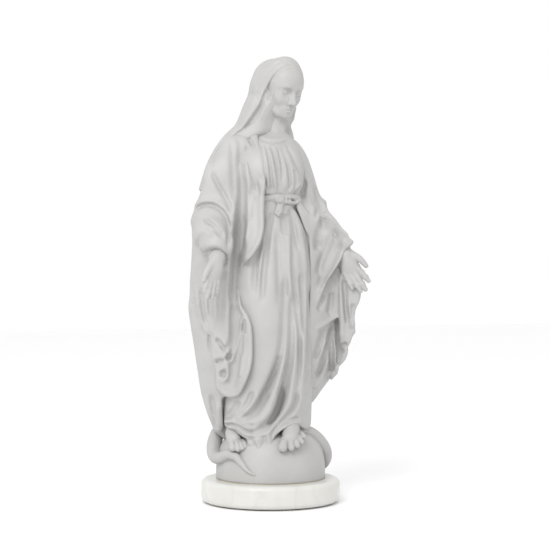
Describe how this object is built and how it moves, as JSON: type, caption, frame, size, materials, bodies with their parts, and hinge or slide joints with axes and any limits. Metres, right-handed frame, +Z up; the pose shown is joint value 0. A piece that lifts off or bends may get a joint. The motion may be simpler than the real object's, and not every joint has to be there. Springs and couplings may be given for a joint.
{
  "type": "madonna statue",
  "caption": "Free-standing statue of a veiled lady with open hands, standing on a globe with a serpent, on a round marble base.",
  "frame": {"origin": "centre of the flat resting face, on the base disc's axis", "axes": "+Z up along the base disc's axis, -Y the way the lady faces, +X towards her left hand"},
  "size_m": [0.1675, 0.123, 0.4],
  "materials": {
    "marble_dust": "cast marble dust and resin, matte",
    "marble": "fine honed white marble",
    "adhesive": "cured adhesive, slightly yellow",
    "filler": "rough cast filler",
    "felt": "pressed felt",
    "zinc_steel": "zinc plated",
    "bright_steel": "bright drawn"
  },
  "bodies": {
    "root": {"felt_disc": "felt", "marble_base": "marble", "adhesive_bed": "adhesive", "figure_casting": "marble_dust", "core_fill": "filler", "threaded_rod": "zinc_steel", "washer": "zinc_steel", "nut": "zinc_steel", "right_hand": "marble_dust", "right_wrist_pin": "bright_steel", "left_hand": "marble_dust", "left_wrist_pin": "bright_steel"}
  },
  "joints": []
}
